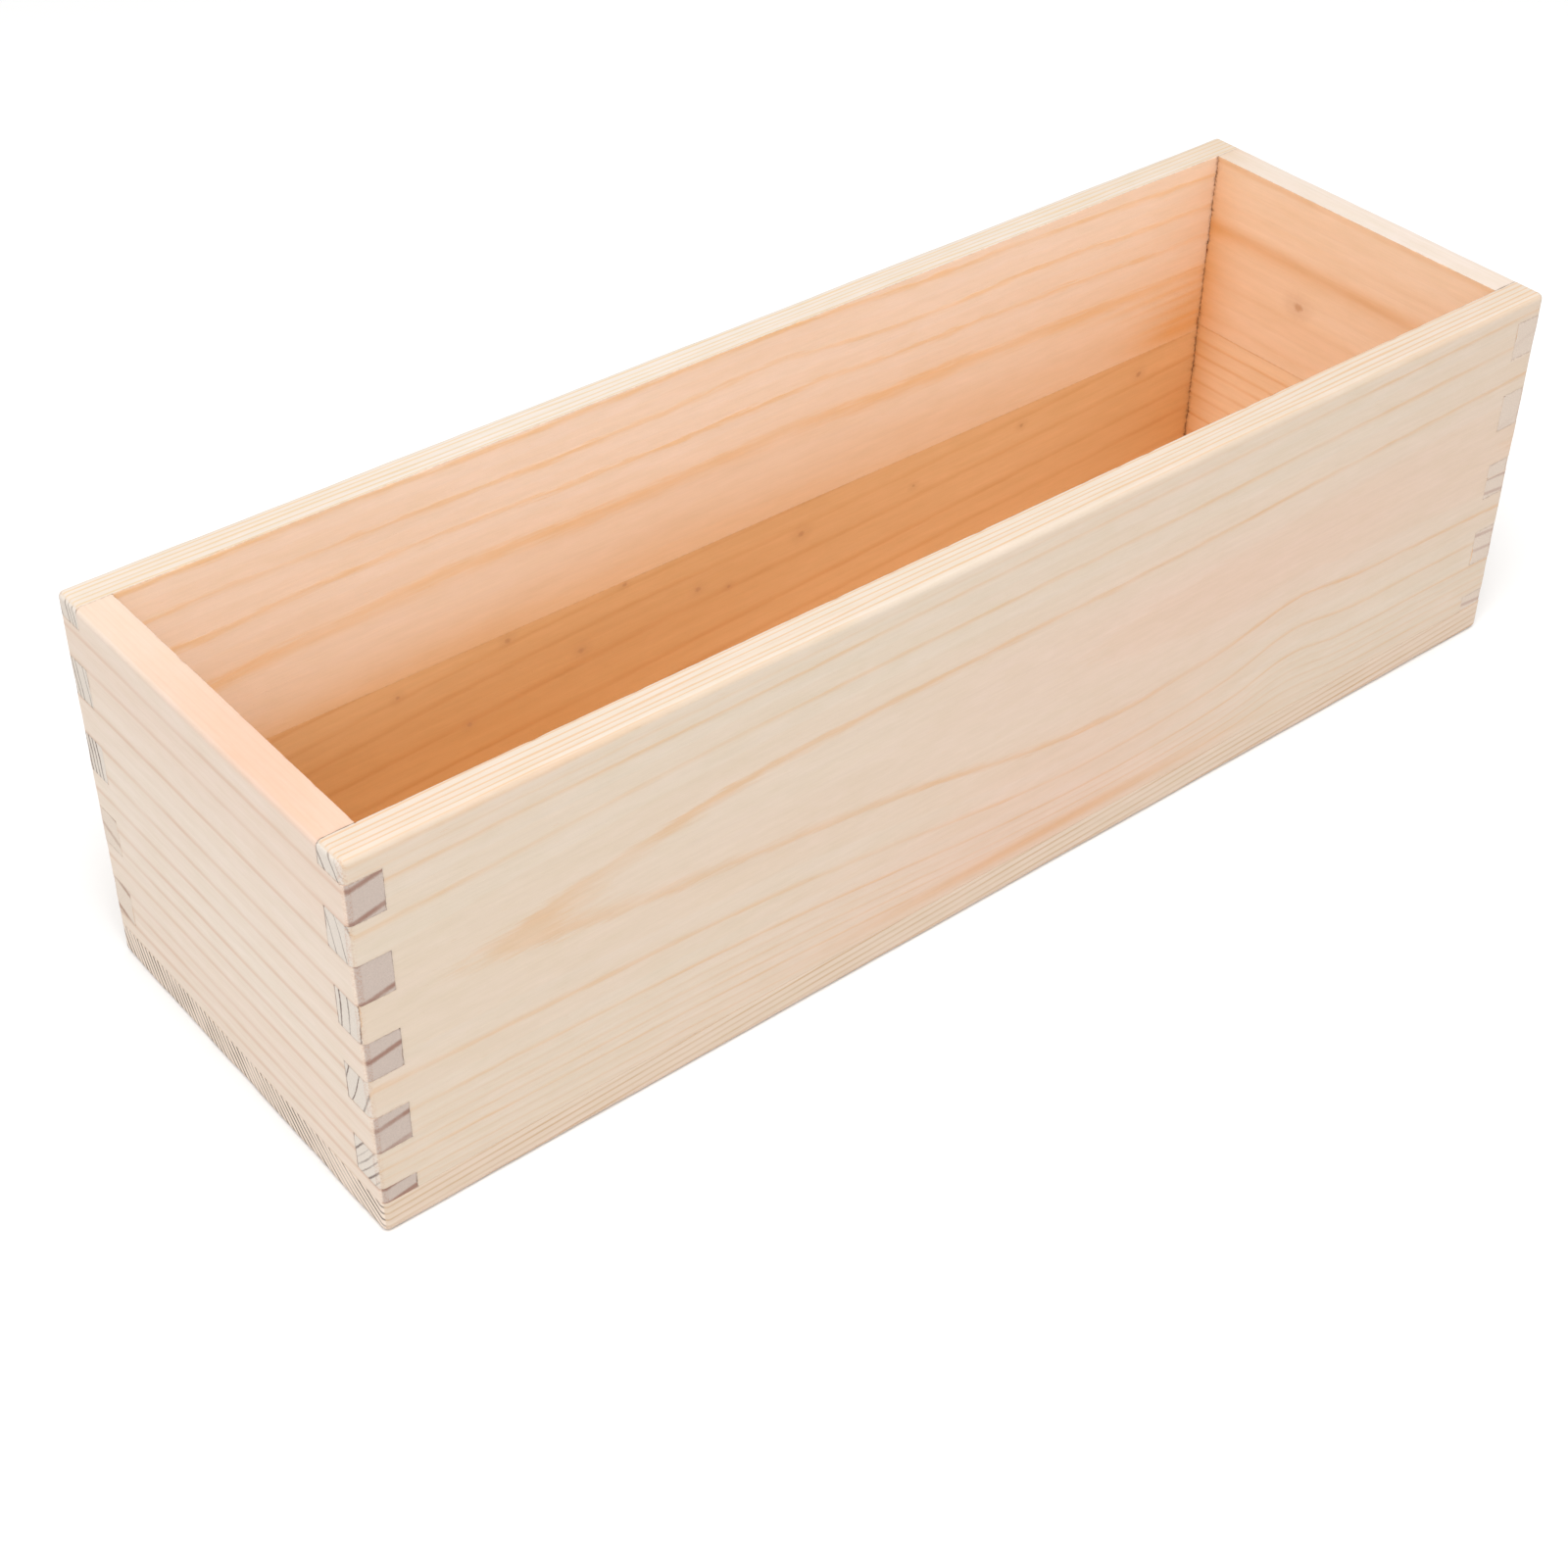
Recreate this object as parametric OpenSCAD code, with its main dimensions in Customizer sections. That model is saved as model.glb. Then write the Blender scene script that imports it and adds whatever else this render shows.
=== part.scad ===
// Soap loaf mould: an open wooden box with finger-jointed corners, glued up from
// solid softwood boards on a bottom board as large as the box itself.
// Millimetres. +X runs along the loaf, -Y is the front, +Z is up.
// The origin is the middle of the underside.

/* [Overall size] */
// Outside length of the mould
mould_l = 280; // [220:5:340]
// Outside width of the mould
mould_w = 90; // [70:1:120]
// Outside height of the mould, with its bottom board
mould_h = 81.5; // [70:0.5:100]

/* [Boards] */
// Thickness of the sides and of the ends
wall_t = 7; // [5:0.5:10]
// Thickness of the bottom board
bottom_t = 7; // [5:0.5:10]
// Radius that the outside edges are sanded to
edge_r = 1.2; // [0.5:0.1:2]

/* [Finger joints] */
// Height of one finger, and of the gap between two
finger_h = 8.3; // [6:0.1:10]
// Height of the top finger of the long sides, at the rim
top_finger_h = 4.5; // [2:0.1:8]

/* [Glued staves] */
// Depth below the rim of the glue line in the back side
back_glue_depth = 42.6; // [30:0.2:50]
// Depth below the rim of the glue line in the right end
right_glue_depth = 41; // [30:0.2:50]

/* [Hidden] */

frame_h = mould_h - bottom_t;       // height of the finger-jointed frame
cut_over = 1;                       // how far a cutter runs past the wood
arc_fn = 48;                        // facets of the sanded edges, where they are drawn

front_y = -mould_w / 2;             // outer face of the front side
back_y = mould_w / 2 - wall_t;      // inner face of the back side
left_x = -mould_l / 2;              // outer face of the left end
right_x = mould_l / 2 - wall_t;     // inner face of the right end

// Spans of depth below the rim, [upper, lower]. The ends have a finger in each
// end_spans, and the long sides have one in each side_spans, between them.
end_spans = [
    for (top = top_finger_h; top < frame_h; top = top + 2 * finger_h)
        [top, min(top + finger_h, frame_h)]
];
side_spans = concat(
    [[0, top_finger_h]],
    [
        for (span = end_spans)
            if (span[1] < frame_h)
                [span[1], min(span[1] + finger_h, frame_h)]
    ]
);

// The wooden surfaces as a buyer meets them: outside edges eased, inside edges crisp.
module rounded_rectangle(width, height, radius) {
    square([width - 2 * radius, height], center = true);
    square([width, height - 2 * radius], center = true);
    for (x = [-1, 1], y = [-1, 1])
        translate([x * (width / 2 - radius), y * (height / 2 - radius)])
            circle(r = radius, $fn = arc_fn);
}

module eased_block() {
    intersection() {
        linear_extrude(mould_h)
            rounded_rectangle(mould_l, mould_w, edge_r);
        translate([0, 0, mould_h / 2])
            rotate([90, 0, 0])
                linear_extrude(mould_w, center = true)
                    rounded_rectangle(mould_l, mould_h, edge_r);
        translate([0, 0, mould_h / 2])
            rotate([90, 0, 90])
                linear_extrude(mould_l, center = true)
                    rounded_rectangle(mould_w, mould_h, edge_r);
    }
}

// Notches for one corner, cut through a board of wall_t from the corner's own edge.
// The notch runs past the outer faces, and past the rim or the foot where it opens there.
module corner_notches(spans, x_side, y_side) {
    for (span = spans) {
        over_top = span[0] == 0 ? cut_over : 0;
        over_foot = span[1] == frame_h ? cut_over : 0;
        reach = wall_t + cut_over;
        x_low = x_side < 0 ? left_x - cut_over : right_x;
        y_low = y_side < 0 ? front_y - cut_over : back_y;
        translate([x_low, y_low, mould_h - span[1] - over_foot])
            cube([reach, reach, span[1] - span[0] + over_top + over_foot]);
    }
}

// A long side, or one stave of it, between two depths below the rim.
module long_side(y_side, from_depth, to_depth) {
    y_low = y_side < 0 ? front_y : back_y;
    intersection() {
        eased_block();
        difference() {
            translate([-mould_l / 2, y_low, mould_h - to_depth])
                cube([mould_l, wall_t, to_depth - from_depth]);
            for (x_side = [-1, 1])
                corner_notches(end_spans, x_side, y_side);
        }
    }
}

// An end, or one stave of it, between two depths below the rim.
module end_board(x_side, from_depth, to_depth) {
    x_low = x_side < 0 ? left_x : right_x;
    intersection() {
        eased_block();
        difference() {
            translate([x_low, -mould_w / 2, mould_h - to_depth])
                cube([wall_t, mould_w, to_depth - from_depth]);
            for (y_side = [-1, 1])
                corner_notches(side_spans, x_side, y_side);
        }
    }
}

module front_side() {
    color("#e6cfb4") long_side(-1, 0, frame_h);
}

module back_side_upper_stave() {
    color("#ebc7a4") long_side(1, 0, back_glue_depth);
}

module back_side_lower_stave() {
    color("#dfae7c") long_side(1, back_glue_depth, frame_h);
}

module left_end() {
    color("#ecd9c3") end_board(-1, 0, frame_h);
}

module right_end_upper_stave() {
    color("#eec3a0") end_board(1, 0, right_glue_depth);
}

module right_end_lower_stave() {
    color("#e8bd94") end_board(1, right_glue_depth, frame_h);
}

// The bottom board lies under the whole frame, flush with its outside.
module bottom_board() {
    color("#e0c7a6")
        intersection() {
            eased_block();
            translate([-mould_l / 2, -mould_w / 2, 0])
                cube([mould_l, mould_w, bottom_t]);
        }
}

front_side();
back_side_upper_stave();
back_side_lower_stave();
left_end();
right_end_upper_stave();
right_end_lower_stave();
bottom_board();
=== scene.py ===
import math
import bpy
import bmesh
import numpy as np
from mathutils import Matrix, Vector


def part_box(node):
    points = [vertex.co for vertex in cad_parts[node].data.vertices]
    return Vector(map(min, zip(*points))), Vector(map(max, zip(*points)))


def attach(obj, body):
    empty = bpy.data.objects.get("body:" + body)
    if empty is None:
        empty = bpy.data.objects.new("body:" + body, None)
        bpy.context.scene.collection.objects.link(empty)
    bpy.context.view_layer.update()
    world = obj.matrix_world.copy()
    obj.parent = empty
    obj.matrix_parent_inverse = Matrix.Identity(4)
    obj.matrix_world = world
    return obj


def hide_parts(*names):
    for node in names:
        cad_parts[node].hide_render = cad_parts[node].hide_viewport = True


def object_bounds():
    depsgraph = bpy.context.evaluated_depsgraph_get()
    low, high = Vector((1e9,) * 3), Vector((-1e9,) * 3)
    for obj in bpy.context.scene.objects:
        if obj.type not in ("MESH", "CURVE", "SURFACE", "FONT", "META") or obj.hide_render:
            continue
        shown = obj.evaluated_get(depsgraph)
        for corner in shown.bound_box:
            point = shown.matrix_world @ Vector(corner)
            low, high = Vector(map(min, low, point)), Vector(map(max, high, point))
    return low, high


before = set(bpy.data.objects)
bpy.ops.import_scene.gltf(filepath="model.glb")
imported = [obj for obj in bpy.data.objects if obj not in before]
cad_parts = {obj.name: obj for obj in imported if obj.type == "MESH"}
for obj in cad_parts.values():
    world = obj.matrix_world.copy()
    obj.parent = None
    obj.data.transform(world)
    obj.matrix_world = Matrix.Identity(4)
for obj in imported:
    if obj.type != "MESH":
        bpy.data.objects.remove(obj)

cadLow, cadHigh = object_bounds()
mm = 0.001
halfLength = cadHigh.x / mm
halfWidth = cadHigh.y / mm
boxHeight = cadHigh.z / mm
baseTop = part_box("bottom_board")[1].z / mm  # top of the bottom board
wall = halfWidth - abs(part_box("front_side")[1].y) / mm  # board thickness
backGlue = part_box("back_side_lower_stave")[1].z / mm  # height of the glue line in the back side
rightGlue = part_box("right_end_lower_stave")[1].z / mm  # the same in the right end
boxSize = [round(2 * halfLength, 1), round(2 * halfWidth, 1), round(boxHeight, 1)]
print("frame loaded, box", boxSize, "mm")

# boards
boardCut = {
    "edgeRadius": 1.2,  # outside edges, sanded round
    "seamRadius": 0.045,  # crisp edges inside the joints
    "seamGap": 0.012,  # glue room beside every finger
    "fingerHeight": 8.3,
    "topFinger": 4.5,  # the sides' finger at the rim
    "step": 1.8,  # spacing of the plain grid lines
    "ripple": 0.03,  # how far the planed faces wander
    "proud": 0.05,  # half the spread of the fingers' ends, nearly all of them shy of the face
    "glueRadius": 0.0135,  # the edges along a glue line, nearly shut
    "wear": 0.18,  # how unevenly the rounded edges are sanded
    "rimChip": 0.25,  # largest chip along the rim's inside edge
    "seamShade": 0.14,  # how far the dark of a seam fades
    "glueShade": 0.15,  # strength of the dark along a glue line
    "cornerShade": 0.32,  # how far the painted shade of an inside corner fades
    "fuzzShade": 0.12,  # how far the rim's fuzz and the painted shade under its edge fade
}
wallSteps = (0.03, 0.10, 0.3, 0.5, 0.7, 0.9, 0.97)  # rows of a board's edge, from outer skin to inner
sharpAngle = math.radians(40)


def waver(t, seed):
    # three sines of unlike length, added, between about -1 and 1
    a = np.sin(t * 0.113 + seed * 1.7)
    b = np.sin(t * 0.291 + seed * 4.1 + 1.3)
    c = np.sin(t * 0.737 + seed * 2.9 + 0.4)
    return 0.5 * a + 0.3 * b + 0.2 * c


def chipped(t, seed):
    # sharper sines, kept only where they pass a threshold: chips along an edge, 0 to 1
    a = np.sin(t * 0.83 + seed * 3.3) + np.sin(t * 2.17 + seed) + np.sin(t * 4.9 + seed * 5.1)
    return np.clip((a - 0.9) / 1.4, 0, 1)


def gridLines(low, high, easedLow, easedHigh, seams):
    # an even spread from low to high, with lines packed where an edge is rounded or a seam runs:
    # on a rounded edge at radius * (1 - cos(angle)), even steps of angle
    cut = boardCut
    turn = cut["edgeRadius"] * (1 - np.cos(np.linspace(0, math.pi / 2, 7)))
    crisp = np.array([0.0, 0.03, 0.10, 0.35, 0.8])
    packed = [low + (turn if easedLow else crisp), high - (turn if easedHigh else crisp)]
    for seam in seams:
        packed += [seam - crisp, seam + crisp]
    packed = np.concatenate(packed)
    even = np.linspace(low, high, int((high - low) / cut["step"]) + 1)
    apart = np.abs(even[:, None] - packed[None, :]).min(axis=1)
    lines = np.concatenate([packed, even[apart > 0.5]])
    lines = lines[(lines >= low) & (lines <= high)]
    return np.unique(np.round(lines, 3))


def quarterRound(near, radius):
    # depth of a rounded edge: radius * (1 - sqrt(1 - near^2)), near 0 inside and 1 at the edge
    return radius * (1 - np.sqrt(1 - np.clip(near, 0, 1) ** 2))


def fingerSpans():
    # heights [low, high] of the ends' fingers and of the sides' fingers, from the rim down
    cut = boardCut
    ends, sides = [], [[boxHeight - cut["topFinger"], boxHeight]]
    top = boxHeight - cut["topFinger"]
    while top > baseTop:
        low = max(top - cut["fingerHeight"], baseTop)
        ends.append([low, top])
        if low > baseTop:
            sides.append([max(low - cut["fingerHeight"], baseTop), low])
        top -= 2 * cut["fingerHeight"]
    return ends, sides


def boardSkins(a, b, notches, reach, bottomEased, seed, chipEdge):
    # Two skins over one grid. Outer depth is the rounding of the box's edges, where the corner
    # is a ball: near = sqrt(p^2 + q^2) with p and q squeezed from a square into a disc.
    cut = boardCut
    r, s, g = cut["edgeRadius"], cut["seamRadius"], cut["glueRadius"]
    along, up = np.meshgrid(a, b, indexing="ij")
    toEnd = reach - np.abs(along)
    top, foot = b[-1], b[0]
    rimHere = abs(top - chipEdge["rim"]) < 0.01
    nowhere = np.full_like(along, 99.0)
    p = np.clip((r - toEnd) / r, 0, 1)
    q = np.clip((r - (top - up)) / r, 0, 1) if rimHere else np.zeros_like(up)
    qFoot = np.clip((r - (up - foot)) / r, 0, 1) if bottomEased else np.zeros_like(up)
    both = np.maximum(q, qFoot)
    pRound = p * np.sqrt(1 - both ** 2 / 2)
    qRound = both * np.sqrt(1 - p ** 2 / 2)
    easeA = (p - pRound) * r * np.sign(along)
    easeB = (both - qRound) * r * np.where(q > qFoot, 1, -1)
    worn = 1 + cut["wear"] * waver(along + up, seed)
    outer = quarterRound(np.sqrt(pRound ** 2 + qRound ** 2), r) * worn
    # distance to the nearest notch, for the crisp edges of the joint
    toNotch = nowhere
    for a0, a1, b0, b1 in notches:
        da = np.maximum(np.maximum(a0 - along, along - a1), 0)
        db = np.maximum(np.maximum(b0 - up, up - b1), 0)
        toNotch = np.minimum(toNotch, np.hypot(da, db))
    toGlue = np.minimum(nowhere if bottomEased else up - foot, nowhere if rimHere else top - up)
    toRim = top - up if rimHere and not bottomEased else nowhere
    outer = outer + quarterRound(1 - toNotch / s, s) + quarterRound(1 - toGlue / g, g)
    # the inside edges are crisp, with small chips where the joint's shoulders meet
    chips = chipped(along * 0.7 + up * 1.1, seed) * chipEdge["size"]
    crumbled = s + chips
    rimChips = s + cut["rimChip"] * chipped(along * 0.9, seed + 1)
    inner = quarterRound(1 - np.minimum(toNotch, toEnd) / crumbled, crumbled)
    inner = np.maximum(inner, quarterRound(1 - toRim / rimChips, rimChips))
    inner = inner + quarterRound(1 - toGlue / g, g)
    outer = outer + cut["ripple"] * (1 + waver(along, seed + 2) * waver(up * 2, seed + 5))
    inner = inner + cut["ripple"] * (1 + waver(along, seed + 3) * waver(up * 2, seed + 6))
    # fingers end at different depths, proud * (sine - 0.9), and their tips' small edges are broken
    finger = np.floor((up - foot) / cut["fingerHeight"])
    push = cut["proud"] * (np.sin(finger * 2.3 + seed + np.sign(along)) - 0.9)
    inJoint = np.clip(1 - toEnd / wall, 0, 1)
    tip = quarterRound(1 - toNotch / s, s) * np.clip(1 - toEnd / r, 0, 1)
    along = along - easeA + np.sign(along) * (push * inJoint - tip)
    up = up - easeB
    # the dark of each seam, exp(-distance / how far it fades), and painted shade in inside corners and
    # under the rim's edge
    line = cut["seamShade"]
    seamOuter = np.maximum(np.exp(-toNotch / line), cut["glueShade"] * np.exp(-toGlue / line))
    corner = np.exp(-np.abs(toEnd - wall) / cut["cornerShade"])  # painted shade where the next board meets this one
    gaps = np.clip(4 * chipped(up * 0.7, seed + 0.7) * chipEdge["size"], 0, 1)
    seamInnerAndShade = np.maximum(seamOuter, corner * (0.7 + gaps))
    seamInnerAndShade = np.maximum(seamInnerAndShade, 0.2 * np.exp(-toRim / cut["fuzzShade"]))  # the rim's sharp edge: fuzz and painted shade
    seamOuter = 0.25 * seamOuter
    arris = np.clip(np.sqrt(p ** 2 + 0.4 * qFoot ** 2), 0, 1)  # the rim's own edges stay clean
    seamWall = 0.4 * np.exp(-toNotch / line)
    return along, up, outer, inner, (seamOuter, seamInnerAndShade, seamWall), arris


def board(name, node, low, high, foot, top, notches, place, wood, eased=False):
    # One board: two skins over a grid with the joint's notches left out, and walls between the
    # skins round every free side, point = outer * (1 - t) + inner * t with t through the board.
    a = gridLines(low, high, True, True, sorted({v for n in notches for v in n[:2] if low < v < high}))
    bSeams = sorted({v for n in notches for v in n[2:] if foot + 0.5 < v < top - 0.5})
    rimHere = eased or abs(top - boxHeight) < 0.01
    b = gridLines(foot, top, eased, rimHere, bSeams)
    chipEdge = {"size": wood["chips"], "rim": b[-1] if rimHere else -99}
    along, up, outer, inner, seam, arris = boardSkins(a, b, notches, high, eased, wood["seed"], chipEdge)
    midA, midB = (a[1:] + a[:-1]) / 2, (b[1:] + b[:-1]) / 2
    solid = np.ones((len(midA), len(midB)), bool)
    for a0, a1, b0, b1 in notches:
        inside = (midA[:, None] > a0) & (midA[:, None] < a1) & (midB[None] > b0) & (midB[None] < b1)
        solid &= ~inside
    framed = np.pad(solid, 1)
    used = framed[1:, 1:] | framed[:-1, 1:] | framed[1:, :-1] | framed[:-1, :-1]
    index = np.where(used, np.cumsum(used).reshape(used.shape) - 1, -1)
    count = int(used.sum())
    seamOuter, seamInnerAndShade, seamWall = (layer[used] for layer in seam)
    outerPoint = np.stack([along[used], up[used], outer[used]], 1)
    innerPoint = np.stack([along[used], up[used], wall - inner[used]], 1)
    i, j = np.nonzero(solid)
    quad = np.stack([index[i, j], index[i + 1, j], index[i + 1, j + 1], index[i, j + 1]], 1)
    upright = np.stack(np.nonzero(framed[1:, 1:-1] != framed[:-1, 1:-1]), 1)
    level = np.stack(np.nonzero(framed[1:-1, 1:] != framed[1:-1, :-1]), 1)
    edge = np.concatenate([
        np.stack([index[upright[:, 0], upright[:, 1]], index[upright[:, 0], upright[:, 1] + 1]], 1),
        np.stack([index[level[:, 0], level[:, 1]], index[level[:, 0] + 1, level[:, 1]]], 1),
    ])
    side = np.unique(edge)
    slotOf = np.full(count, -1)
    slotOf[side] = np.arange(len(side))
    between = [outerPoint[side] * (1 - t) + innerPoint[side] * t for t in wallSteps]
    points = np.concatenate([outerPoint, innerPoint] + between)
    rows = [side] + [2 * count + k * len(side) + np.arange(len(side)) for k in range(len(wallSteps))]
    rows.append(side + count)
    e = slotOf[edge]
    walls = [
        np.stack([rows[k][e[:, 0]], rows[k][e[:, 1]], rows[k + 1][e[:, 1]], rows[k + 1][e[:, 0]]], 1)
        for k in range(len(rows) - 1)
    ]
    faces = np.concatenate([quad, quad[:, ::-1] + count] + walls)
    seamAll = np.concatenate([seamOuter, seamInnerAndShade] + [seamWall[side]] * len(wallSteps))
    arrisAll = np.concatenate([arris[used], 0 * arris[used]] + [np.zeros(len(side))] * len(wallSteps))
    mesh = bpy.data.meshes.new(name)
    world = place(points[:, 0], points[:, 1], points[:, 2]) * mm
    mesh.from_pydata(world.tolist(), [], faces.tolist())
    for label, values in (("seam", seamAll), ("arris", arrisAll)):
        layer = mesh.attributes.new(label, "FLOAT", "POINT")
        layer.data.foreach_set("value", values.astype(np.float32))
    work = bmesh.new()
    work.from_mesh(mesh)
    bmesh.ops.recalc_face_normals(work, faces=work.faces)
    work.to_mesh(mesh)
    work.free()
    mesh.shade_smooth()
    mesh.set_sharp_from_angle(angle=sharpAngle)
    piece = bpy.data.objects.new(name, mesh)
    bpy.context.scene.collection.objects.link(piece)
    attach(piece, "root")
    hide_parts(node)
    print("board", name, len(faces), "faces")
    return piece


# shader groups
def newGroup(name, inputs, outputs):
    kinds = {"f": "NodeSocketFloat", "v": "NodeSocketVector", "c": "NodeSocketColor"}
    group = bpy.data.node_groups.new(name, "ShaderNodeTree")
    for label, kind, value in inputs:
        socket = group.interface.new_socket(label, in_out="INPUT", socket_type=kinds[kind])
        socket.default_value = value
    for label, kind in outputs:
        group.interface.new_socket(label, in_out="OUTPUT", socket_type=kinds[kind])
    return group, group.nodes.new("NodeGroupInput").outputs, group.nodes.new("NodeGroupOutput").inputs


class Tree:
    # short hands for one node tree
    def __init__(self, tree):
        self.tree = tree

    def node(self, kind, **settings):
        made = self.tree.nodes.new(kind)
        for key, value in settings.items():
            setattr(made, key, value)
        return made

    def join(self, source, socket):
        if isinstance(source, bpy.types.NodeSocket):
            self.tree.links.new(source, socket)
        elif isinstance(source, (tuple, list)) and len(source) == 3 and socket.type == "RGBA":
            socket.default_value = (*source, 1)
        else:
            socket.default_value = source

    def math(self, how, *values, clamp=False):
        made = self.node("ShaderNodeMath", operation=how, use_clamp=clamp)
        for value, socket in zip(values, made.inputs):
            self.join(value, socket)
        return made.outputs[0]

    def vector(self, how, *values):
        made = self.node("ShaderNodeVectorMath", operation=how)
        for value, socket in zip(values, made.inputs):
            self.join(value, socket)
        return made.outputs["Value" if how in ("DOT_PRODUCT", "LENGTH", "DISTANCE") else "Vector"]

    def split(self, vector):
        made = self.node("ShaderNodeSeparateXYZ")
        self.join(vector, made.inputs[0])
        return made.outputs

    def combine(self, x, y, z):
        made = self.node("ShaderNodeCombineXYZ")
        for value, socket in zip((x, y, z), made.inputs):
            self.join(value, socket)
        return made.outputs[0]

    def noise(self, point, scale, detail=2.0, rough=0.5):
        made = self.node("ShaderNodeTexNoise")
        self.join(point, made.inputs["Vector"])
        made.inputs["Scale"].default_value = scale
        made.inputs["Detail"].default_value = detail
        made.inputs["Roughness"].default_value = rough
        return made.outputs[0]

    def remap(self, value, low, high, outLow=0.0, outHigh=1.0, smooth=False):
        made = self.node("ShaderNodeMapRange", interpolation_type="SMOOTHSTEP" if smooth else "LINEAR")
        for number, socket in zip((value, low, high, outLow, outHigh), made.inputs):
            self.join(number, socket)
        return made.outputs[0]

    def mix(self, factor, first, second, blend="MIX"):
        made = self.node("ShaderNodeMix", data_type="RGBA", blend_type=blend)
        self.join(factor, made.inputs["Factor"])
        self.join(first, made.inputs[6])
        self.join(second, made.inputs[7])
        return made.outputs[2]

    def use(self, group, values):
        made = self.node("ShaderNodeGroup", node_tree=group)
        for key, value in values.items():
            self.join(value, made.inputs[key])
        return made.outputs


def softSpotGroup():
    # a soft oval spot, exp(-(dx/rx)^2 - (dz/rz)^2)
    group, given, out = newGroup(
        "softSpot",
        [("Point", "v", (0, 0, 0)), ("Centre", "v", (0, 0, 0)), ("Reach X", "f", 30),
         ("Reach Z", "f", 10)],
        [("Spot", "f")],
    )
    t = Tree(group)
    x, _, z = t.split(t.vector("SUBTRACT", given["Point"], given["Centre"]))
    dx = t.math("DIVIDE", x, given["Reach X"])
    dz = t.math("DIVIDE", z, given["Reach Z"])
    squares = t.math("MULTIPLY_ADD", dx, dx, t.math("MULTIPLY", dz, dz))
    spot = t.math("EXPONENT", t.math("MULTIPLY", squares, -1))
    t.join(spot, out["Spot"])
    return group


def logRingsGroup():
    # distance to the pith line: sqrt(h^2 + v^2), h through the board and v across its face,
    # both drifting along the grain, with slow noises that let the rings wander and a fine one
    # that frays them
    group, given, out = newGroup(
        "logRings",
        [("Point", "v", (0, 0, 0)), ("Pith Depth", "f", 45), ("Pith Height", "f", 30),
         ("Lean Depth", "f", 0), ("Lean Height", "f", 0), ("Above", "f", 1), ("Below", "f", 1),
         ("Wander", "f", 0.5), ("Feather", "f", 0.1)],
        [("Distance", "f")],
    )
    t = Tree(group)
    x, y, z = t.split(given["Point"])
    h = t.math("SUBTRACT", t.math("MULTIPLY_ADD", x, given["Lean Depth"], given["Pith Depth"]), y)
    v = t.math("SUBTRACT", z, t.math("MULTIPLY_ADD", x, given["Lean Height"], given["Pith Height"]))
    above = t.math("MULTIPLY", t.math("MINIMUM", v, 0), given["Above"])
    below = t.math("MULTIPLY", t.math("MAXIMUM", v, 0), given["Below"])
    v = t.math("ADD", above, below)
    distance = t.math("SQRT", t.math("MULTIPLY_ADD", h, h, t.math("MULTIPLY", v, v)))
    slow = t.noise(t.vector("MULTIPLY", given["Point"], (0.018, 0.05, 0.05)), 1.0, 2.0)
    quick = t.noise(t.vector("MULTIPLY", given["Point"], (0.09, 0.2, 0.2)), 1.0, 2.0)
    quick = t.math("MULTIPLY", t.math("SUBTRACT", quick, 0.5), 0.25)
    drift = t.math("ADD", t.math("SUBTRACT", slow, 0.5), quick)
    distance = t.math("MULTIPLY_ADD", drift, given["Wander"], distance)
    frayed = t.noise(t.vector("MULTIPLY", given["Point"], (0.12, 1.6, 1.6)), 1.0, 3.0, 0.6)
    frayed = t.math("SUBTRACT", frayed, 0.5)
    t.join(t.math("MULTIPLY_ADD", frayed, given["Feather"], distance), out["Distance"])
    return group


def yearRingGroup():
    # One year: the late wood is a line at each whole number that rises over about a quarter of a
    # year and ends over half of that. The strength fades in and out along the grain.
    group, given, out = newGroup(
        "yearRing",
        [("Point", "v", (0, 0, 0)), ("Year", "f", 0), ("Strength", "f", 1), ("Uneven", "f", 0.5),
         ("Seed", "f", 0)],
        [("Late", "f"), ("Core", "f"), ("Grade", "f")],
    )
    t = Tree(group)
    phase = t.math("SUBTRACT", given["Year"], t.math("ROUND", given["Year"]))
    rise = t.remap(phase, -0.27, -0.01, smooth=True)
    fall = t.remap(phase, 0.0, 0.14, 1.0, 0.0, smooth=True)
    line = t.math("MULTIPLY", rise, fall)
    coreRise = t.remap(phase, -0.22, -0.06, smooth=True)
    core = t.math("MULTIPLY", coreRise, t.remap(phase, 0.03, 0.16, 1.0, 0.0))
    noise = t.node("ShaderNodeTexWhiteNoise", noise_dimensions="1D")
    t.join(t.math("ADD", t.math("ROUND", given["Year"]), given["Seed"]), noise.inputs["W"])
    own = t.math("SUBTRACT", 1.0, t.math("MULTIPLY", noise.outputs["Value"], given["Uneven"]))
    along = t.noise(t.vector("MULTIPLY", given["Point"], (0.035, 0.12, 0.12)), 1.0, 3.0)
    fade = t.math("MULTIPLY", t.remap(along, 0.32, 0.62, 0.45, 1.15), given["Strength"])
    own = t.math("MULTIPLY", own, fade)
    t.join(t.math("MULTIPLY", line, own), out["Late"])
    t.join(t.math("MULTIPLY", core, own), out["Core"])
    t.join(t.remap(phase, -0.5, -0.05, 0.0, 1.0, smooth=True), out["Grade"])
    return group


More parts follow.
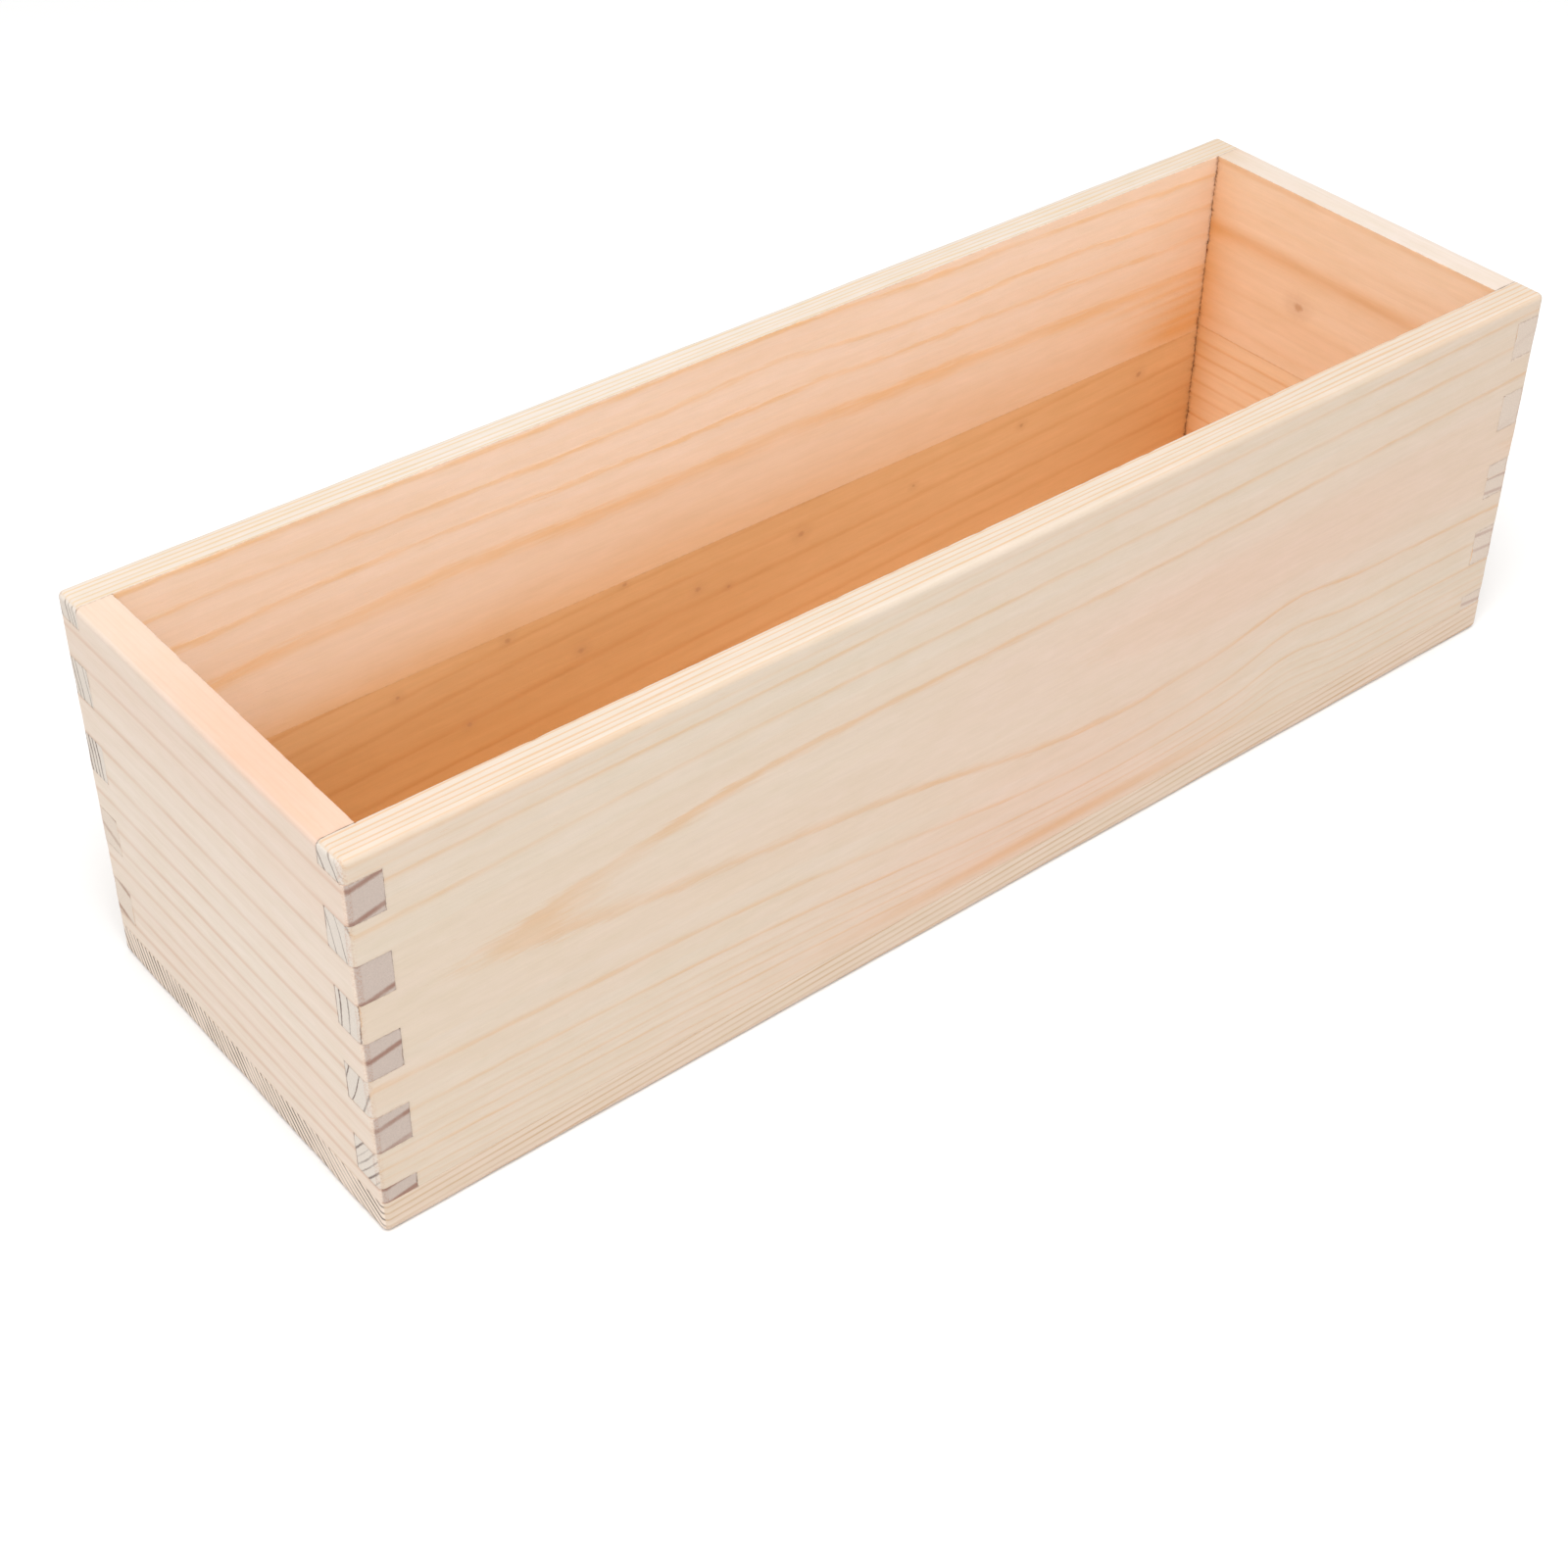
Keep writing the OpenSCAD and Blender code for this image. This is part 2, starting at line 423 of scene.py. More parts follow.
def woodFibreGroup():
    # fibres: noise stretched along the grain at two widths, and short resin dashes where the
    # finer noise peaks
    group, given, out = newGroup(
        "woodFibre", [("Point", "v", (0, 0, 0)), ("Seed", "f", 0)],
        [("Fibre", "f"), ("Dash", "f"), ("Cloud", "f"), ("Mottle", "f")],
    )
    t = Tree(group)
    moved = t.vector("ADD", given["Point"], t.combine(given["Seed"], given["Seed"], given["Seed"]))
    broad = t.noise(t.vector("MULTIPLY", moved, (0.03, 1.1, 1.1)), 1.0, 3.0, 0.55)
    fine = t.noise(t.vector("MULTIPLY", moved, (0.14, 4.5, 4.5)), 1.0, 2.0, 0.6)
    t.join(t.math("ADD", t.math("MULTIPLY", broad, 0.55), t.math("MULTIPLY", fine, 0.45)), out["Fibre"])
    peak = t.noise(t.vector("MULTIPLY", moved, (0.3, 5.0, 5.0)), 1.0, 1.0)
    t.join(t.remap(peak, 0.72, 0.80, smooth=True), out["Dash"])
    t.join(t.noise(t.vector("MULTIPLY", moved, (0.012, 0.06, 0.06)), 1.0, 3.0), out["Cloud"])
    t.join(t.noise(t.vector("MULTIPLY", moved, (0.12, 0.45, 0.45)), 1.0, 4.0, 0.65), out["Mottle"])
    return group


def pinKnotGroup():
    # a small dark knot with a soft halo, longer along the grain than across it: both fall with the
    # distance from its centre, roughened by noise, and the larger of this and the one before is kept
    group, given, out = newGroup(
        "pinKnot",
        [("Point", "v", (0, 0, 0)), ("Centre", "v", (0, 0, 0)), ("Size", "f", 1.0),
         ("Before", "f", 0.0)],
        [("Knot", "f")],
    )
    t = Tree(group)
    away = t.vector("MULTIPLY", t.vector("SUBTRACT", given["Point"], given["Centre"]), (0.8, 0.25, 1.0))
    rough = t.noise(given["Point"], 0.9, 2.0)
    far = t.math("DIVIDE", t.vector("LENGTH", away), given["Size"])
    far = t.math("ADD", far, t.math("MULTIPLY", t.math("SUBTRACT", rough, 0.5), 1.1))
    core = t.remap(far, 0.2, 1.2, 0.95, 0.0, smooth=True)
    halo = t.remap(far, 0.6, 3.2, 0.28, 0.0, smooth=True)
    t.join(t.math("MAXIMUM", t.math("MAXIMUM", core, halo), given["Before"]), out["Knot"])
    return group


def pineFinishGroup():
    # Colours of bare planed pine from the masks of one board. Late wood, end grain, the inside's
    #  painted bounce light and the tops' painted light are tints that multiply the body colour.
    group, given, out = newGroup(
        "pineFinish",
        [("Point", "v", (0, 0, 0)), ("Normal", "v", (0, 0, 1)), ("Grain Axis", "v", (1, 0, 0)),
         ("Inward", "v", (0, 1, 0)), ("Late", "f", 0), ("Core", "f", 0), ("Grade", "f", 0),
         ("Fibre", "f", 0.5), ("Dash", "f", 0), ("Cloud", "f", 0.5), ("Mottle", "f", 0.5),
         ("Knot", "f", 0), ("Warm Tone And Painted Light", "f", 0), ("Seam", "f", 0), ("Arris", "f", 0), ("Rim Lines", "f", 0),
         ("Pale", "c", (1, 1, 1, 1)), ("Blush And Painted Shade", "c", (1, 1, 1, 1)), ("Late Tint", "c", (1, 1, 1, 1)),
         ("Inside Bounce Light Tint", "c", (1, 1, 1, 1)), ("Knot Wood", "c", (1, 1, 1, 1)),
         ("End Wood", "c", (1, 1, 1, 1)), ("End Late", "c", (1, 1, 1, 1)), ("Joint Dirt And Shade", "c", (1, 1, 1, 1)),
         ("Arris Tint", "c", (1, 1, 1, 1)), ("Rim Top Light Tint", "c", (1, 1, 1, 1))],
        [("Color", "c"), ("Roughness", "f"), ("Height", "f")],
    )
    t = Tree(group)
    white = (1, 1, 1)
    facing = t.math("ABSOLUTE", t.vector("DOT_PRODUCT", given["Normal"], given["Grain Axis"]))
    endGrain = t.remap(facing, 0.6, 0.85, smooth=True)
    # faces that look into the box, for the painted bounce light
    inside = t.remap(t.vector("DOT_PRODUCT", given["Normal"], given["Inward"]), 0.5, 0.9, smooth=True)
    # the pull toward the blush, from the wood's own cloud and the given spots, some of which are painted
    # shade and reflection
    warmToneAndPaintedLight = t.math("ADD", given["Warm Tone And Painted Light"], t.remap(given["Cloud"], 0.35, 0.7, 0.0, 0.22), clamp=True)
    body = t.mix(warmToneAndPaintedLight, given["Pale"], given["Blush And Painted Shade"])
    # fine lines along the rims, about one a millimetre, where the rings run out at the top edge
    up = t.remap(t.math("ABSOLUTE", t.split(given["Normal"])[2]), 0.7, 0.95, smooth=True)
    across = t.split(given["Point"])[1]
    shift = t.noise(t.vector("MULTIPLY", given["Point"], (0.012, 0.3, 0.3)), 1.0, 2.0)
    stripe = t.math("SINE", t.math("MULTIPLY", t.math("MULTIPLY_ADD", shift, 2.2, across), 5.2))
    stripe = t.math("MULTIPLY", t.remap(stripe, 0.3, 1.0, smooth=True), given["Rim Lines"])
    late = t.math("MULTIPLY", given["Late"], t.math("MULTIPLY_ADD", up, -0.6, 1.0))
    late = t.math("MAXIMUM", late, t.math("MULTIPLY", up, stripe))
    face = t.mix(late, white, given["Late Tint"])
    face = t.mix(t.math("MULTIPLY", given["Grade"], 0.10), face, given["Late Tint"])
    face = t.mix(1.0, body, face, "MULTIPLY")
    streak = t.remap(given["Fibre"], 0.3, 0.7, 0.965, 1.03)
    patch = t.remap(given["Mottle"], 0.3, 0.7, 0.975, 1.022)
    tone = t.math("MULTIPLY", streak, patch)
    face = t.mix(1.0, face, t.combine(tone, tone, t.math("MULTIPLY", tone, patch)), "MULTIPLY")
    dashed = t.mix(1.0, face, given["Late Tint"], "MULTIPLY")
    face = t.mix(t.math("MULTIPLY", given["Dash"], 0.35), face, dashed)
    # painted bounce light: faces that look into the box made lighter and warmer
    face = t.mix(inside, face, t.mix(1.0, face, given["Inside Bounce Light Tint"], "MULTIPLY"))
    # painted light on the faces that look up: the rim's tops
    face = t.mix(up, face, t.mix(1.0, face, given["Rim Top Light Tint"], "MULTIPLY"))
    speck = t.noise(given["Point"], 3.2, 3.0, 0.7)
    end = t.mix(t.math("MULTIPLY", given["Core"], 1.2, clamp=True), given["End Wood"], given["End Late"])
    pore = t.remap(speck, 0.3, 0.7, 0.92, 1.06)
    end = t.mix(1.0, end, t.combine(pore, pore, pore), "MULTIPLY")
    color = t.mix(endGrain, face, end)
    color = t.mix(t.math("MULTIPLY", given["Knot"], 0.7), color, given["Knot Wood"])
    color = t.mix(
        t.math("MULTIPLY", given["Arris"], t.remap(speck, 0.47, 0.62, 0.05, 1.0)), color,
        t.mix(1.0, color, given["Arris Tint"], "MULTIPLY"),
    )
    crumb = t.noise(given["Point"], 0.85, 2.0, 0.6)
    # the dark of the joints, with painted shade in the inside corners and under the rim
    jointDirtAndShade = t.math("MULTIPLY", given["Seam"], t.remap(crumb, 0.46, 0.56, 0.3, 1.1), clamp=True)
    color = t.mix(jointDirtAndShade, color, t.mix(1.0, color, given["Joint Dirt And Shade"], "MULTIPLY"))
    t.join(color, out["Color"])
    rough = t.remap(given["Fibre"], 0.3, 0.7, 0.66, 0.56)
    rough = t.math("SUBTRACT", rough, t.math("MULTIPLY", given["Arris"], 0.06))
    t.join(t.math("ADD", rough, t.math("MULTIPLY", endGrain, 0.16)), out["Roughness"])
    height = t.math("MULTIPLY_ADD", given["Fibre"], 0.6, t.math("MULTIPLY", given["Late"], 0.35))
    height = t.math("SUBTRACT", height, t.math("MULTIPLY", given["Dash"], 0.4))
    height = t.math("ADD", height, t.math("MULTIPLY", t.math("MULTIPLY", speck, endGrain), 1.2))
    t.join(height, out["Height"])
    return group


groups = {
    "spot": softSpotGroup(),
    "rings": logRingsGroup(),
    "year": yearRingGroup(),
    "fibre": woodFibreGroup(),
    "knot": pinKnotGroup(),
    "finish": pineFinishGroup(),
}
print("shader groups built")


def pineMaterial(name, wood):
    # One board's own tree: where its pith lies, where each year ends and how its grain swells.
    # Object coordinates are turned so that X runs along the grain, Y from the outer face in
    # and Z down from the rim, in millimetres.
    material = bpy.data.materials.new(name)
    material.use_nodes = True
    tree = material.node_tree
    tree.nodes.clear()
    t = Tree(tree)
    where = t.node("ShaderNodeTexCoord")
    turned = t.node("ShaderNodeMapping")
    t.join(where.outputs["Object"], turned.inputs["Vector"])
    turned.inputs["Location"].default_value = wood["centre"]
    turned.inputs["Rotation"].default_value = wood["turn"]
    turned.inputs["Scale"].default_value = [1 / mm * s for s in wood["flip"]]
    point = turned.outputs[0]
    bent = point  # each swell moves the grain down by amount * its spot
    for x, z, reachX, reachZ, amount in wood["swells"]:
        spot = t.use(groups["spot"], {
            "Point": bent, "Centre": (x, 0, z), "Reach X": reachX, "Reach Z": reachZ,
        })["Spot"]
        bent = t.vector("ADD", bent, t.combine(0, 0, t.math("MULTIPLY", spot, amount)))
    distance = t.use(groups["rings"], {
        "Point": bent, "Pith Depth": wood["pith"][0], "Pith Height": wood["pith"][1],
        "Lean Depth": wood["lean"][0], "Lean Height": wood["lean"][1],
        "Above": wood["squeeze"][0], "Below": wood["squeeze"][1], "Wander": wood["wander"],
        "Feather": wood["feather"],
    })["Distance"]
    # the calendar: a curve from the distance to the pith to the year, straight between points,
    # that gives each year's late wood its own place and width
    years = sorted(wood["years"])
    radii = np.array([year[0] for year in years])
    room = np.diff(radii, prepend=radii[0] - 3, append=radii[-1] + 3)
    widths = np.minimum([year[1] for year in years], 0.42 * np.minimum(room[1:], room[:-1]))
    first, last = radii[0] - 3, radii[-1] + 3
    count = len(years)
    curve = t.node("ShaderNodeFloatCurve")
    line = curve.mapping.curves[0]
    spots = [
        (radius + side * width, k + 1 + side * 0.25)
        for k, (radius, width) in enumerate(zip(radii, widths)) for side in (-1, 1)
    ]
    spots = [((radius - first) / (last - first), year / (count + 1)) for radius, year in spots]
    line.points[0].location = (0, 0)
    line.points[1].location = (1, 1)
    for spot in spots:
        line.points.new(*spot)
    for spot in line.points:
        spot.handle_type = "VECTOR"
    curve.mapping.update()
    t.join(t.remap(distance, first, last), curve.inputs["Value"])
    year = t.math("MULTIPLY", curve.outputs[0], count + 1.0)
    strength = years[0][2]  # one for all where there are too many years for a ramp's stops
    if count < 31:  # otherwise each year's own strength, as steps of a ramp over the calendar
        ramp = t.node("ShaderNodeValToRGB")
        ramp.color_ramp.interpolation = "CONSTANT"
        steps = ramp.color_ramp.elements
        steps.remove(steps[1])
        steps[0].position = 0
        steps[0].color = (0, 0, 0, 1)
        for k, own in enumerate(years):
            step = steps.new((k + 0.5) / (count + 1))
            step.color = (own[2], own[2], own[2], 1)
        steps.new((count + 0.5) / (count + 1)).color = (0, 0, 0, 1)
        t.join(curve.outputs[0], ramp.inputs[0])
        strength = ramp.outputs[0]
    ring = t.use(groups["year"], {
        "Point": point, "Year": year, "Strength": strength, "Uneven": wood["uneven"],
        "Seed": wood["seed"],
    })
    fibre = t.use(groups["fibre"], {"Point": point, "Seed": wood["seed"] * 10.0})
    warmToneAndPaintedLight = 0.0
    for x, z, reachX, reachZ, amount in wood["warmToneAndPaintedLight"]:
        spot = t.use(groups["spot"], {
            "Point": point, "Centre": (x, 0, z), "Reach X": reachX, "Reach Z": reachZ,
        })["Spot"]
        warmToneAndPaintedLight = t.math("MULTIPLY_ADD", spot, amount, warmToneAndPaintedLight)
    late = ring["Late"]
    for x, z, reachX, reachZ, amount in wood["streaks"]:
        spot = t.use(groups["spot"], {
            "Point": point, "Centre": (x, 0, z), "Reach X": reachX, "Reach Z": reachZ,
        })["Spot"]
        late = t.math("MAXIMUM", late, t.math("MULTIPLY", spot, amount))
    knot = 0.0
    for x, y, z, size in wood["knots"]:
        knot = t.use(groups["knot"], {
            "Point": point, "Centre": (x, y, z), "Size": size, "Before": knot,
        })["Knot"]
    # seam: dark joints, with painted shade in inside corners and under the rim
    seam = t.node("ShaderNodeAttribute", attribute_name="seam")
    arris = t.node("ShaderNodeAttribute", attribute_name="arris")
    values = {
        "Point": point, "Normal": where.outputs["Normal"], "Grain Axis": wood["axis"],
        "Inward": wood["inward"], "Late": late, "Core": ring["Core"], "Grade": ring["Grade"],
        "Fibre": fibre["Fibre"], "Dash": fibre["Dash"], "Cloud": fibre["Cloud"], "Mottle": fibre["Mottle"],
        "Knot": knot, "Warm Tone And Painted Light": warmToneAndPaintedLight, "Seam": seam.outputs["Fac"], "Arris": arris.outputs["Fac"],
        "Rim Lines": wood["rimLines"],
    }
    values.update({key: wood[key] for key in (
        "Pale", "Blush And Painted Shade", "Late Tint", "Inside Bounce Light Tint", "Knot Wood", "End Wood", "End Late", "Joint Dirt And Shade",
        "Arris Tint", "Rim Top Light Tint")})
    finish = t.use(groups["finish"], values)
    shader = t.node("ShaderNodeBsdfPrincipled")
    shader.inputs["Specular IOR Level"].default_value = wood["shine"]
    t.join(finish["Color"], shader.inputs["Base Color"])
    t.join(finish["Roughness"], shader.inputs["Roughness"])
    bump = t.node("ShaderNodeBump")
    bump.inputs["Strength"].default_value = wood["bumpStrength"]
    bump.inputs["Distance"].default_value = wood["bumpDepth"]
    t.join(finish["Height"], bump.inputs["Height"])
    t.join(bump.outputs[0], shader.inputs["Normal"])
    t.join(shader.outputs[0], t.node("ShaderNodeOutputMaterial").inputs[0])
    return material


quarter = math.pi / 2
# What every board starts from. Each board's own values follow beside it:
#   centre, turn, flip  how object coordinates become grain coordinates; the grain's axis; inward,
#                       the way its inner face looks
#   pith, lean, squeeze where the log's middle lies (depth, height), how it drifts along the grain,
#                       how the rings are pressed above and below it
#   years               (distance from the pith, half width, strength) of each year's late wood
#   swells, warm spots, streaks  (x, z, reach along, reach across, amount) of soft spots that bend the
#                        grain, pull the colour toward the blush, also used for painted shade, or add late
#                        wood
#   wander, feather     how far the rings drift and fray; uneven, how much the years differ
#   knots               (x, depth, z, size)
plainPine = {
    "turn": (0, 0, 0), "axis": (1, 0, 0), "inward": (0, 1, 0), "lean": (0, 0), "squeeze": (1, 1),
    "wander": 0.35, "feather": 0.4, "uneven": 0.25, "seed": 1.0, "chips": 0.0, "rimLines": 0.5,
    "swells": (), "warmToneAndPaintedLight": (), "streaks": (), "knots": (),
    "shine": 0.3, "bumpStrength": 0.35, "bumpDepth": 0.0002,
    # the inside tint is painted bounce light on inner faces, the rim tint painted light on faces that look
    # up, and the dirt also paints shade
    "Pale": (0.60, 0.51, 0.42), "Blush And Painted Shade": (0.65, 0.48, 0.38), "Late Tint": (0.87, 0.73, 0.54),
    "Inside Bounce Light Tint": (1.2, 1.12, 1.02), "Knot Wood": (0.50, 0.24, 0.11), "End Wood": (0.66, 0.57, 0.50),
    "End Late": (0.17, 0.12, 0.10), "Joint Dirt And Shade": (0.27, 0.15, 0.10), "Arris Tint": (0.80, 0.64, 0.57),
    "Rim Top Light Tint": (1.04, 1.07, 1.11),
}


def yearsAcross(pith, depth, crossings):
    # late wood that crosses a face at these heights below the rim: (height, width on the face,
    # strength), as distances from the pith, sqrt(h^2 + v^2)
    h = pith[0] - depth
    found = []
    for height, width, strength in crossings:
        v = height - pith[1]
        radius = math.hypot(h, v)
        found.append((radius, width * abs(v) / radius, strength))
    return tuple(found)


ends, sides = fingerSpans()
gap = boardCut["seamGap"]
far = halfLength + 1


def notchesOf(spans, reach):
    # the cut-outs at both ends of a board, a glue gap larger than the fingers they take
    root = reach - wall - gap
    cuts = []
    for low, high in spans:
        low = low - 1 if low <= baseTop + 0.01 else low - gap
        high = high + 1 if high >= boxHeight - 0.01 else high + gap
        cuts += [(root, far, low, high), (-far, -root, low, high)]
    return cuts


# front side
frontWood = dict(plainPine)
frontWood.update({
    "centre": (halfLength, halfWidth, boxHeight), "flip": (1, 1, -1), "chips": 0.25,
    "pith": (46.7, 32.4), "lean": (-0.0112, 0.006), "squeeze": (0.954, 1.015), "wander": 0.35,
    "swells": ((159, 55.5, 50, 16.7, -7.0), (216, 55.4, 12, 19.7, 3.1), (80, 22, 61, 10.3, 3.1)),
    "years": (
        (35, 0.4, 0.8), (38.2, 0.4, 0.8), (41, 0.4, 0.9), (43.4, 0.35, 0.8), (46.34, 0.27, 1.0),
        (49.4, 0.4, 0.75), (52.6, 0.4, 0.8), (54.0, 0.25, 0.3), (55.25, 0.35, 0.6), (56.6, 0.3, 0.6),
        (58.2, 0.4, 0.7),
        (59.6, 0.25, 0.35), (61.0, 0.3, 0.5), (62.2, 0.25, 0.35), (63.6, 0.25, 0.4), (65, 0.25, 0.35),
    ),
    # the second warm spot and the streak, low in the middle, are a painted warm reflection and shade
    "warmToneAndPaintedLight": ((200, 34, 95, 16, 0.8), (147, 67, 50, 17, 1.0)), "streaks": ((150, 71.8, 44, 1.5, 1.0),),
    "Pale": (0.60, 0.507, 0.408), "Blush And Painted Shade": (0.625, 0.465, 0.365), "Late Tint": (0.98, 0.79, 0.61),
    "rimLines": 1.0, "End Wood": (0.67, 0.60, 0.53),
})
frontSide = board(
    "frontSide", "front_side", -halfLength, halfLength, baseTop + gap, boxHeight,
    notchesOf(ends, halfLength), lambda a, b, w: np.stack([a, w - halfWidth, b], 1), frontWood,
)
frontSide.data.materials.append(pineMaterial("frontSidePine", frontWood))

# back side, two staves
backUpperWood = dict(plainPine)
backUpperWood.update({
    "centre": (halfLength, halfWidth, boxHeight), "flip": (1, -1, -1), "seed": 2.0, "chips": 0.5,
    "pith": (-205, 48), "wander": 0.45, "feather": 0.4, "inward": (0, -1, 0), "rimLines": 0.9,
    "years": tuple((205.6 + 1.3 * k, 0.4, 1.0) for k in range(5)) + yearsAcross((-205, 48), 7, (
        (-8, 1.2, 0.8), (0.8, 1.1, 0.9), (8.0, 1.1, 0.9), (15.0, 1.1, 0.9), (23.6, 2.9, 0.9))),
    "swells": ((285, 12, 75, 40, -3.6), (147, 6, 16, 6, 1.5), (8, 26, 36, 9, -3.5),
               (190, 8, 20, 6, -1.2)),
    # the warm spots at the right corner and the long one low down are painted shade, darker into the
    # corner and deeper in the box
    "warmToneAndPaintedLight": ((288, 38, 24, 11, 1.2), (286, 12, 24, 14, 0.35), (150, 25, 150, 3.0, 0.15),
             (60, 50, 240, 15, 0.9), (180, 36, 120, 8, 0.2)),
    "streaks": ((287, 37, 13, 5, 0.8), (268, 40, 15, 1.8, 0.9), (262, 29.5, 20, 0.8, 0.7),
                (268, 32, 17, 0.5, 0.6), (266, 34.5, 15, 0.7, 0.5), (270, 37.5, 14, 0.8, 0.9),
                (42, 25.6, 26, 0.9, 0.5)),
    "Pale": (0.63, 0.55, 0.475), "Blush And Painted Shade": (0.55, 0.37, 0.215), "Inside Bounce Light Tint": (1.47, 1.33, 1.23),
    "Late Tint": (0.98, 0.82, 0.58), "End Wood": (0.67, 0.60, 0.53),
})
backUpper = board(
    "backUpper", "back_side_upper_stave", -halfLength, halfLength, backGlue + 0.004, boxHeight,
    notchesOf(ends, halfLength), lambda a, b, w: np.stack([a, halfWidth - w, b], 1), backUpperWood,
)
backUpper.data.materials.append(pineMaterial("backUpperPine", backUpperWood))

backLowerWood = dict(plainPine)
backLowerWood.update({
    "centre": (halfLength, halfWidth, boxHeight), "flip": (1, -1, -1), "seed": 3.0, "chips": 0.5,
    "pith": (80, -180), "lean": (0, -0.055), "wander": 0.9, "feather": 0.7, "inward": (0, -1, 0),
    "years": yearsAcross((80, -180), 7, (
        (46, 1.2, 0.7), (52, 1.2, 0.6), (57.6, 1.2, 0.8), (64.2, 1.2, 0.8), (71.6, 1.2, 0.8),
        (77.5, 1.2, 0.8), (84, 1.2, 0.7), (90, 1.2, 0.7), (97, 1.2, 0.7))),
    "swells": ((100, 50, 60, 9, 2.5),),
    "knots": (
        (59, 7, 46.4, 0.7), (84, 7, 44.4, 0.8), (112, 7, 43.4, 0.6), (74, 7, 60, 0.7),
        (101, 7, 54.4, 1.0), (130, 7, 52.4, 0.8), (138, 7, 55, 0.6), (157, 7, 50, 1.1),
        (188, 7, 50.6, 0.6), (219, 7, 47.4, 0.7), (255, 7, 47.6, 0.9),
    ),
    # the dark blush and the warm spots paint shade: darker deep in the box, most at the left and right
    # corners
    "Pale": (0.665, 0.51, 0.36), "Blush And Painted Shade": (0.54, 0.345, 0.18), "Inside Bounce Light Tint": (1.23, 0.98, 0.71),
    "End Wood": (0.68, 0.58, 0.49), "End Late": (0.40, 0.26, 0.19),
    "Late Tint": (0.90, 0.80, 0.68), "warmToneAndPaintedLight": ((290, 66, 50, 18, 0.8), (30, 66, 140, 20, 1.15)),
})
backLower = board(
    "backLower", "back_side_lower_stave", -halfLength, halfLength, baseTop + gap, backGlue - 0.004,
    notchesOf(ends, halfLength), lambda a, b, w: np.stack([a, halfWidth - w, b], 1), backLowerWood,
)
backLower.data.materials.append(pineMaterial("backLowerPine", backLowerWood))

# left end
leftWood = dict(plainPine)
leftWood.update({
    "centre": (halfWidth, halfLength, boxHeight), "turn": (0, 0, quarter), "flip": (1, 1, -1),
    "axis": (0, 1, 0), "inward": (1, 0, 0), "seed": 4.0, "chips": 0.3,
    "pith": (-60, -300), "wander": 0.5, "feather": 0.3,
    "years": yearsAcross((-60, -300), 0, tuple((height, 1.1, 0.9) for height in (
        -3, 6.2, 12.8, 21, 29.5, 35.8, 42, 48, 52.7, 57.5, 63, 66.8, 71.2, 75, 79))),
    "rimLines": 0.1, "warmToneAndPaintedLight": ((64, 0, 34, 1.6, 0.8), (45, 10, 90, 9, 0.12)),
    "Rim Top Light Tint": (0.98, 0.91, 0.86),
    "Pale": (0.71, 0.61, 0.515), "Blush And Painted Shade": (0.70, 0.50, 0.39), "Late Tint": (0.87, 0.74, 0.67),
    "End Wood": (0.475, 0.392, 0.343), "End Late": (0.29, 0.17, 0.13),
})
leftEnd = board(
    "leftEnd", "left_end", -halfWidth, halfWidth, baseTop + gap, boxHeight, notchesOf(sides, halfWidth),
    lambda a, b, w: np.stack([w - halfLength, a, b], 1), leftWood,
)
leftEnd.data.materials.append(pineMaterial("leftEndPine", leftWood))

# right end, two staves
rightUpperWood = dict(plainPine)
rightUpperWood.update({
    "centre": (halfWidth, halfLength, boxHeight), "turn": (0, 0, quarter), "flip": (-1, 1, -1),
    "axis": (0, 1, 0), "inward": (-1, 0, 0), "seed": 5.0, "chips": 0.7,
    "pith": (60, -160), "wander": 0.9, "feather": 0.5,
    "years": yearsAcross((60, -160), 7, (
        (-6, 2, 0.5), (0.8, 1.8, 0.6), (10, 1, 0.15), (16.3, 4.0, 0.5), (29, 1, 0.2), (38, 1, 0.2),
        (48, 1, 0.3))),
    # the second warm spot is painted shade along the inside corner, with the blush dark for it
    "knots": ((34.5, 7, 25, 1.5),), "warmToneAndPaintedLight": ((30, 16.5, 50, 2.6, 0.4), (3, 34, 9, 34, 1.1)),
    "rimLines": 0.2,
    "Pale": (0.70, 0.62, 0.56), "Blush And Painted Shade": (0.60, 0.385, 0.21), "Inside Bounce Light Tint": (1.30, 1.07, 0.85),
    "End Wood": (0.60, 0.50, 0.42), "End Late": (0.48, 0.36, 0.30), "Rim Top Light Tint": (1, 1, 1),
})
rightUpper = board(
    "rightUpper", "right_end_upper_stave", -halfWidth, halfWidth, rightGlue + 0.004, boxHeight,
    notchesOf(sides, halfWidth), lambda a, b, w: np.stack([halfLength - w, a, b], 1), rightUpperWood,
)
rightUpper.data.materials.append(pineMaterial("rightUpperPine", rightUpperWood))

rightLowerWood = dict(plainPine)
rightLowerWood.update({
    "centre": (halfWidth, halfLength, boxHeight), "turn": (0, 0, quarter), "flip": (-1, 1, -1),
    "axis": (0, 1, 0), "inward": (-1, 0, 0), "seed": 6.0, "chips": 0.7,
    "pith": (-30, -300), "wander": 0.4, "feather": 0.3,
    "years": yearsAcross((-30, -300), 7, tuple((height, 0.8, 1.0) for height in (
        36, 41, 44.7, 48.5, 51.5, 55.2, 59, 64, 68.5, 73, 79))),
    # the dark blush and the warm spot are painted shade along the inside corner
    "Pale": (0.70, 0.60, 0.50), "Blush And Painted Shade": (0.58, 0.37, 0.195), "Inside Bounce Light Tint": (1.30, 1.08, 0.87),
    "Late Tint": (0.90, 0.78, 0.64), "warmToneAndPaintedLight": ((3, 50, 9, 60, 1.1),), "End Wood": (0.60, 0.50, 0.42),
    "End Late": (0.48, 0.36, 0.30),
})
